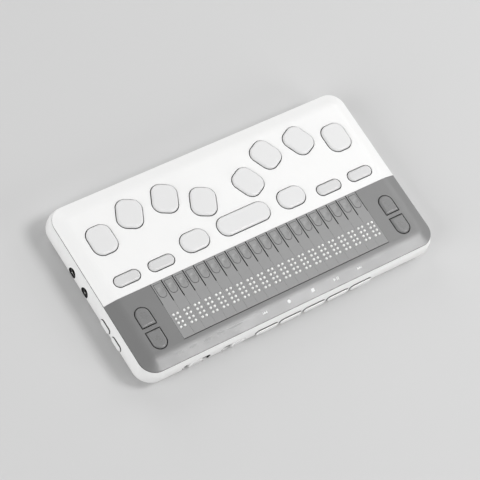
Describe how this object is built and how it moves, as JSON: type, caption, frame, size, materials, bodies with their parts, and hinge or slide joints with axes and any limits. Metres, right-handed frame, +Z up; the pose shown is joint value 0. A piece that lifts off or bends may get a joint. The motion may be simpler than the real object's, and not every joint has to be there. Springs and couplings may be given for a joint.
{
  "type": "braille display",
  "caption": "Pocket braille display: flat white case with a chord keyboard, a grey panel with a line of braille cells and routing keys, scroll keys and front edge buttons.",
  "frame": {"origin": "on the table surface under the middle of the case", "axes": "+X along the braille line to the reader's right, +Y to the back, +Z up through the keys"},
  "size_m": [0.1848, 0.1016, 0.0174],
  "materials": {
    "white_shell": "fine moulded satin white",
    "grey_shell": "satin mid grey moulding",
    "grey_keys": "satin mid grey key caps",
    "key_caps": "satin light grey key caps",
    "function_caps": "satin grey key caps",
    "dot_pins": "polished white nylon",
    "circuit_board": "green solder mask",
    "battery_foil": "wrapped foil pouch",
    "socket_black": "black moulded nylon",
    "foot_rubber": "matt black rubber",
    "screw_steel": "plated steel"
  },
  "bodies": {
    "chassis": {"bottom_case": "white_shell", "top_cover": "white_shell", "braille_panel": "grey_shell", "braille_cells": "grey_shell", "main_board": "circuit_board", "key_board": "circuit_board", "battery_pack": "battery_foil", "side_sockets": "socket_black", "speakers": "socket_black", "rubber_feet": "foot_rubber", "case_screws": "screw_steel"},
    "dot_key_1": {"dot_key_1": "key_caps"},
    "dot_key_2": {"dot_key_2": "key_caps"},
    "dot_key_3": {"dot_key_3": "key_caps"},
    "dot_key_4": {"dot_key_4": "key_caps"},
    "dot_key_5": {"dot_key_5": "key_caps"},
    "dot_key_6": {"dot_key_6": "key_caps"},
    "dot_key_7": {"dot_key_7": "key_caps"},
    "dot_key_8": {"dot_key_8": "key_caps"},
    "space_key": {"space_key": "key_caps"},
    "control_key": {"control_key": "key_caps"},
    "alt_key": {"alt_key": "key_caps"},
    "function_key_1": {"function_key_1": "function_caps"},
    "function_key_2": {"function_key_2": "function_caps"},
    "function_key_3": {"function_key_3": "function_caps"},
    "function_key_4": {"function_key_4": "function_caps"},
    "left_scroll_up": {"left_scroll_up": "grey_keys"},
    "left_scroll_down": {"left_scroll_down": "grey_keys"},
    "right_scroll_up": {"right_scroll_up": "grey_keys"},
    "right_scroll_down": {"right_scroll_down": "grey_keys"},
    "routing_key_01": {"routing_key_01": "grey_keys"},
    "routing_key_02": {"routing_key_02": "grey_keys"},
    "routing_key_03": {"routing_key_03": "grey_keys"},
    "routing_key_04": {"routing_key_04": "grey_keys"},
    "routing_key_05": {"routing_key_05": "grey_keys"},
    "routing_key_06": {"routing_key_06": "grey_keys"},
    "routing_key_07": {"routing_key_07": "grey_keys"},
    "routing_key_08": {"routing_key_08": "grey_keys"},
    "routing_key_09": {"routing_key_09": "grey_keys"},
    "routing_key_10": {"routing_key_10": "grey_keys"},
    "routing_key_11": {"routing_key_11": "grey_keys"},
    "routing_key_12": {"routing_key_12": "grey_keys"},
    "routing_key_13": {"routing_key_13": "grey_keys"},
    "routing_key_14": {"routing_key_14": "grey_keys"},
    "routing_key_15": {"routing_key_15": "grey_keys"},
    "routing_key_16": {"routing_key_16": "grey_keys"},
    "routing_key_17": {"routing_key_17": "grey_keys"},
    "routing_key_18": {"routing_key_18": "grey_keys"},
    "routing_key_19": {"routing_key_19": "grey_keys"},
    "routing_key_20": {"routing_key_20": "grey_keys"},
    "previous_button": {"previous_button": "white_shell"},
    "record_button": {"record_button": "white_shell"},
    "stop_button": {"stop_button": "white_shell"},
    "play_button": {"play_button": "white_shell"},
    "next_button": {"next_button": "white_shell"},
    "volume_up_button": {"volume_up_button": "white_shell"},
    "volume_down_button": {"volume_down_button": "white_shell"},
    "braille_pins": {"braille_pins": "dot_pins"},
    "lock_switch": {"lock_switch": "white_shell"},
    "mode_switch": {"mode_switch": "white_shell"}
  },
  "joints": [
    {"name": "dot_key_1_press", "type": "slide", "parent": "chassis", "child": "dot_key_1", "axis": [0, 0, -1], "range_m": [0, 0.001], "stiffness_N_per_m": 600},
    {"name": "braille_pins_drop", "type": "slide", "parent": "chassis", "child": "braille_pins", "axis": [0, 0, -1], "range_m": [0, 0.0006], "stiffness_N_per_m": 300},
    {"name": "lock_switch_slide", "type": "slide", "parent": "chassis", "child": "lock_switch", "axis": [1, 0, 0], "range_m": [-0.0033, 0.0043]},
    {"name": "mode_switch_slide", "type": "slide", "parent": "chassis", "child": "mode_switch", "axis": [1, 0, 0], "range_m": [-0.0052, 0]},
    {"name": "play_button_press", "type": "slide", "parent": "chassis", "child": "play_button", "axis": [0, 1, 0], "range_m": [0, 0.0005], "stiffness_N_per_m": 1500},
    {"name": "volume_up_button_press", "type": "slide", "parent": "chassis", "child": "volume_up_button", "axis": [1, 0, 0], "range_m": [0, 0.0005], "stiffness_N_per_m": 1500},
    {"name": "left_scroll_up_press", "type": "slide", "parent": "chassis", "child": "left_scroll_up", "axis": [0, 0, -1], "range_m": [0, 0.0008], "stiffness_N_per_m": 600},
    {"name": "routing_key_01_press", "type": "slide", "parent": "chassis", "child": "routing_key_01", "axis": [0, 0, -1], "range_m": [0, 0.0005], "stiffness_N_per_m": 600},
    {"name": "space_key_press", "type": "slide", "parent": "chassis", "child": "space_key", "axis": [0, 0, -1], "range_m": [0, 0.001], "stiffness_N_per_m": 600},
    {"name": "function_key_1_press", "type": "slide", "parent": "chassis", "child": "function_key_1", "axis": [0, 0, -1], "range_m": [0, 0.0008], "stiffness_N_per_m": 600},
    {"name": "dot_key_2_press", "type": "slide", "parent": "chassis", "child": "dot_key_2", "axis": [0, 0, -1], "range_m": [0, 0.001], "stiffness_N_per_m": 600},
    {"name": "dot_key_3_press", "type": "slide", "parent": "chassis", "child": "dot_key_3", "axis": [0, 0, -1], "range_m": [0, 0.001], "stiffness_N_per_m": 600},
    {"name": "dot_key_4_press", "type": "slide", "parent": "chassis", "child": "dot_key_4", "axis": [0, 0, -1], "range_m": [0, 0.001], "stiffness_N_per_m": 600},
    {"name": "dot_key_5_press", "type": "slide", "parent": "chassis", "child": "dot_key_5", "axis": [0, 0, -1], "range_m": [0, 0.001], "stiffness_N_per_m": 600},
    {"name": "dot_key_6_press", "type": "slide", "parent": "chassis", "child": "dot_key_6", "axis": [0, 0, -1], "range_m": [0, 0.001], "stiffness_N_per_m": 600},
    {"name": "dot_key_7_press", "type": "slide", "parent": "chassis", "child": "dot_key_7", "axis": [0, 0, -1], "range_m": [0, 0.001], "stiffness_N_per_m": 600},
    {"name": "dot_key_8_press", "type": "slide", "parent": "chassis", "child": "dot_key_8", "axis": [0, 0, -1], "range_m": [0, 0.001], "stiffness_N_per_m": 600},
    {"name": "control_key_press", "type": "slide", "parent": "chassis", "child": "control_key", "axis": [0, 0, -1], "range_m": [0, 0.001], "stiffness_N_per_m": 600},
    {"name": "alt_key_press", "type": "slide", "parent": "chassis", "child": "alt_key", "axis": [0, 0, -1], "range_m": [0, 0.001], "stiffness_N_per_m": 600},
    {"name": "function_key_2_press", "type": "slide", "parent": "chassis", "child": "function_key_2", "axis": [0, 0, -1], "range_m": [0, 0.0008], "stiffness_N_per_m": 600},
    {"name": "function_key_3_press", "type": "slide", "parent": "chassis", "child": "function_key_3", "axis": [0, 0, -1], "range_m": [0, 0.0008], "stiffness_N_per_m": 600},
    {"name": "function_key_4_press", "type": "slide", "parent": "chassis", "child": "function_key_4", "axis": [0, 0, -1], "range_m": [0, 0.0008], "stiffness_N_per_m": 600},
    {"name": "left_scroll_down_press", "type": "slide", "parent": "chassis", "child": "left_scroll_down", "axis": [0, 0, -1], "range_m": [0, 0.0008], "stiffness_N_per_m": 600},
    {"name": "right_scroll_up_press", "type": "slide", "parent": "chassis", "child": "right_scroll_up", "axis": [0, 0, -1], "range_m": [0, 0.0008], "stiffness_N_per_m": 600},
    {"name": "right_scroll_down_press", "type": "slide", "parent": "chassis", "child": "right_scroll_down", "axis": [0, 0, -1], "range_m": [0, 0.0008], "stiffness_N_per_m": 600},
    {"name": "previous_button_press", "type": "slide", "parent": "chassis", "child": "previous_button", "axis": [0, 1, 0], "range_m": [0, 0.0005], "stiffness_N_per_m": 1500},
    {"name": "record_button_press", "type": "slide", "parent": "chassis", "child": "record_button", "axis": [0, 1, 0], "range_m": [0, 0.0005], "stiffness_N_per_m": 1500},
    {"name": "stop_button_press", "type": "slide", "parent": "chassis", "child": "stop_button", "axis": [0, 1, 0], "range_m": [0, 0.0005], "stiffness_N_per_m": 1500},
    {"name": "next_button_press", "type": "slide", "parent": "chassis", "child": "next_button", "axis": [0, 1, 0], "range_m": [0, 0.0005], "stiffness_N_per_m": 1500},
    {"name": "volume_down_button_press", "type": "slide", "parent": "chassis", "child": "volume_down_button", "axis": [1, 0, 0], "range_m": [0, 0.0005], "stiffness_N_per_m": 1500},
    {"name": "routing_key_02_press", "type": "slide", "parent": "chassis", "child": "routing_key_02", "axis": [0, 0, -1], "range_m": [0, 0.0005], "stiffness_N_per_m": 600},
    {"name": "routing_key_03_press", "type": "slide", "parent": "chassis", "child": "routing_key_03", "axis": [0, 0, -1], "range_m": [0, 0.0005], "stiffness_N_per_m": 600},
    {"name": "routing_key_04_press", "type": "slide", "parent": "chassis", "child": "routing_key_04", "axis": [0, 0, -1], "range_m": [0, 0.0005], "stiffness_N_per_m": 600},
    {"name": "routing_key_05_press", "type": "slide", "parent": "chassis", "child": "routing_key_05", "axis": [0, 0, -1], "range_m": [0, 0.0005], "stiffness_N_per_m": 600},
    {"name": "routing_key_06_press", "type": "slide", "parent": "chassis", "child": "routing_key_06", "axis": [0, 0, -1], "range_m": [0, 0.0005], "stiffness_N_per_m": 600},
    {"name": "routing_key_07_press", "type": "slide", "parent": "chassis", "child": "routing_key_07", "axis": [0, 0, -1], "range_m": [0, 0.0005], "stiffness_N_per_m": 600},
    {"name": "routing_key_08_press", "type": "slide", "parent": "chassis", "child": "routing_key_08", "axis": [0, 0, -1], "range_m": [0, 0.0005], "stiffness_N_per_m": 600},
    {"name": "routing_key_09_press", "type": "slide", "parent": "chassis", "child": "routing_key_09", "axis": [0, 0, -1], "range_m": [0, 0.0005], "stiffness_N_per_m": 600},
    {"name": "routing_key_10_press", "type": "slide", "parent": "chassis", "child": "routing_key_10", "axis": [0, 0, -1], "range_m": [0, 0.0005], "stiffness_N_per_m": 600},
    {"name": "routing_key_11_press", "type": "slide", "parent": "chassis", "child": "routing_key_11", "axis": [0, 0, -1], "range_m": [0, 0.0005], "stiffness_N_per_m": 600},
    {"name": "routing_key_12_press", "type": "slide", "parent": "chassis", "child": "routing_key_12", "axis": [0, 0, -1], "range_m": [0, 0.0005], "stiffness_N_per_m": 600},
    {"name": "routing_key_13_press", "type": "slide", "parent": "chassis", "child": "routing_key_13", "axis": [0, 0, -1], "range_m": [0, 0.0005], "stiffness_N_per_m": 600},
    {"name": "routing_key_14_press", "type": "slide", "parent": "chassis", "child": "routing_key_14", "axis": [0, 0, -1], "range_m": [0, 0.0005], "stiffness_N_per_m": 600},
    {"name": "routing_key_15_press", "type": "slide", "parent": "chassis", "child": "routing_key_15", "axis": [0, 0, -1], "range_m": [0, 0.0005], "stiffness_N_per_m": 600},
    {"name": "routing_key_16_press", "type": "slide", "parent": "chassis", "child": "routing_key_16", "axis": [0, 0, -1], "range_m": [0, 0.0005], "stiffness_N_per_m": 600},
    {"name": "routing_key_17_press", "type": "slide", "parent": "chassis", "child": "routing_key_17", "axis": [0, 0, -1], "range_m": [0, 0.0005], "stiffness_N_per_m": 600},
    {"name": "routing_key_18_press", "type": "slide", "parent": "chassis", "child": "routing_key_18", "axis": [0, 0, -1], "range_m": [0, 0.0005], "stiffness_N_per_m": 600},
    {"name": "routing_key_19_press", "type": "slide", "parent": "chassis", "child": "routing_key_19", "axis": [0, 0, -1], "range_m": [0, 0.0005], "stiffness_N_per_m": 600},
    {"name": "routing_key_20_press", "type": "slide", "parent": "chassis", "child": "routing_key_20", "axis": [0, 0, -1], "range_m": [0, 0.0005], "stiffness_N_per_m": 600}
  ]
}
